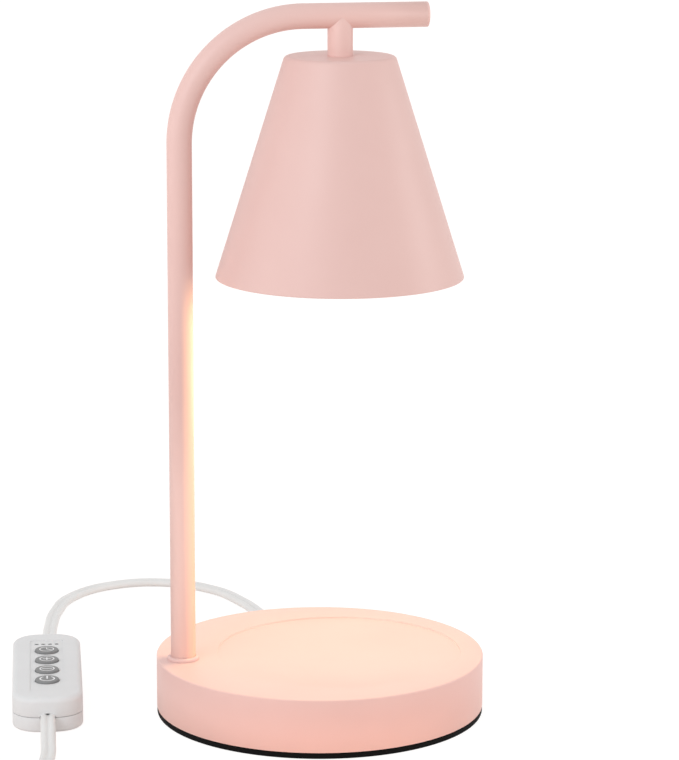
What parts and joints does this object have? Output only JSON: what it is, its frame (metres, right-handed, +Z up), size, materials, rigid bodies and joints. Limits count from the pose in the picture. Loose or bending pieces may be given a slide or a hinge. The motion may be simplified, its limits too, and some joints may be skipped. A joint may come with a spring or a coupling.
{
  "type": "candle warmer lamp",
  "caption": "Candle warmer lamp: round base, fixed bent post and arm, conical shade over a twist-lock reflector bulb, and a dimmer box with keys on its flat cord.",
  "frame": {"origin": "centre of the foot pad's underside, on the surface that the lamp stands on", "axes": "+Z up, +X from the base's centre along the arm and away from the post, +Y towards the side where the cord leaves"},
  "size_m": [0.3459, 0.3226, 0.3246],
  "materials": {
    "pink_coat": "matt powder coat",
    "iron": "as cast",
    "black_steel": "black oxide",
    "foam": "dense foam",
    "zinc": "zinc plated",
    "ceramic": "stands in for glazed white ceramic",
    "brass": "plain",
    "reflector": "coated glass reflector",
    "glass": "clear",
    "sleeve": "woven glass sleeve",
    "nylon": "natural nylon",
    "vinyl": "satin vinyl",
    "white_case": "satin moulding",
    "board": "glass laminate",
    "black_plastic": "moulded",
    "clear_plastic": "clear acrylic, unlit",
    "grey_keys": "satin moulding"
  },
  "bodies": {
    "lamp": {"base_housing": "pink_coat", "post_collar": "pink_coat", "post_arm_tube": "pink_coat", "arm_end_cap": "pink_coat", "stem": "pink_coat", "shade": "pink_coat", "counterweight": "iron", "base_plate": "black_steel", "foot_pad": "foam", "plate_screw_1": "zinc", "plate_screw_2": "zinc", "plate_screw_3": "zinc", "post_nipple": "zinc", "post_washer": "zinc", "post_nut": "zinc", "shade_nipple": "zinc", "shade_washer": "zinc", "shade_nut": "zinc", "holder_strap": "zinc", "holder_screw_1": "zinc", "holder_screw_2": "zinc", "case_screw_1": "zinc", "case_screw_2": "zinc", "lampholder": "ceramic", "holder_contact_1": "brass", "holder_contact_2": "brass", "plug_blade_1": "brass", "plug_blade_2": "brass", "lead_wire_1": "sleeve", "lead_wire_2": "sleeve", "terminal_block": "nylon", "cord_core_1": "vinyl", "cord_core_2": "vinyl", "strain_relief": "vinyl", "cord_to_control": "vinyl", "cord_from_control": "vinyl", "cord_coil": "vinyl", "coil_tie": "vinyl", "plug_body": "vinyl", "control_top": "white_case", "control_bottom": "white_case", "circuit_board": "board", "capacitor": "black_plastic", "dimmer_switch": "black_plastic", "indicator_guide": "clear_plastic"},
    "bulb": {"bulb_base": "ceramic", "bulb_pin_1": "zinc", "bulb_pin_2": "zinc", "bulb_reflector": "reflector", "bulb_front_glass": "glass", "bulb_capsule": "glass"},
    "timer_key": {"key_timer": "grey_keys", "plunger_timer": "black_plastic"},
    "plus_key": {"key_plus": "grey_keys", "plunger_plus": "black_plastic"},
    "minus_key": {"key_minus": "grey_keys", "plunger_minus": "black_plastic"},
    "power_key": {"key_power": "grey_keys", "plunger_power": "black_plastic"}
  },
  "joints": [
    {"name": "bulb_twist", "type": "hinge", "parent": "lamp", "child": "bulb", "pos_m": [0.009, 0, 0.2636], "axis": [0, 0, 1], "range_deg": [-30, 0]},
    {"name": "timer_press", "type": "slide", "parent": "lamp", "child": "timer_key", "axis": [0, 0, -1], "range_m": [0, 0.0005], "stiffness_N_per_m": 1200, "springref_m": -0.0004},
    {"name": "plus_press", "type": "slide", "parent": "lamp", "child": "plus_key", "axis": [0, 0, -1], "range_m": [0, 0.0005], "stiffness_N_per_m": 1200, "springref_m": -0.0004},
    {"name": "minus_press", "type": "slide", "parent": "lamp", "child": "minus_key", "axis": [0, 0, -1], "range_m": [0, 0.0005], "stiffness_N_per_m": 1200, "springref_m": -0.0004},
    {"name": "power_press", "type": "slide", "parent": "lamp", "child": "power_key", "axis": [0, 0, -1], "range_m": [0, 0.0005], "stiffness_N_per_m": 1200, "springref_m": -0.0004}
  ]
}
